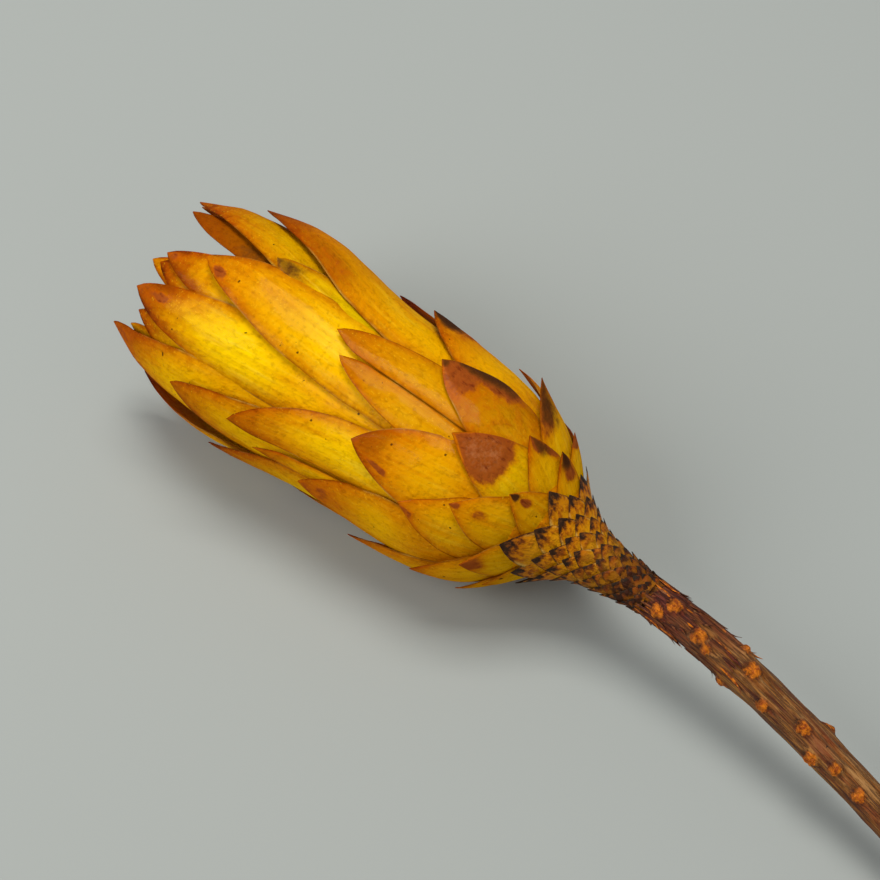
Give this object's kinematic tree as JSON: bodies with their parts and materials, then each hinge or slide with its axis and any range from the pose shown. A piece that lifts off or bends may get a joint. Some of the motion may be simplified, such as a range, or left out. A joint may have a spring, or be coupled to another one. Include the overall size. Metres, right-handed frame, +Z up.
{
  "type": "dried protea flower",
  "caption": "Dried protea flower head of overlapping golden bracts on its own cut woody stem, lying on its side.",
  "frame": {"origin": "on the surface the flower lies on, in the flat spot of the head's belly that it rests on", "axes": "+Z up; -X towards the tips of the bracts; +X along the stem towards its cut end"},
  "size_m": [0.2204, 0.044, 0.0396],
  "materials": {
    "stem_bark": "dry, finely furrowed bark",
    "scale": "dry, matt, with dark edges",
    "bract": "dry and waxy, half gloss",
    "floret": "fine dry hairs"
  },
  "bodies": {
    "root": {"stem": "stem_bark", "neck_scales": "scale", "bracts": "bract", "florets": "floret"}
  },
  "joints": []
}
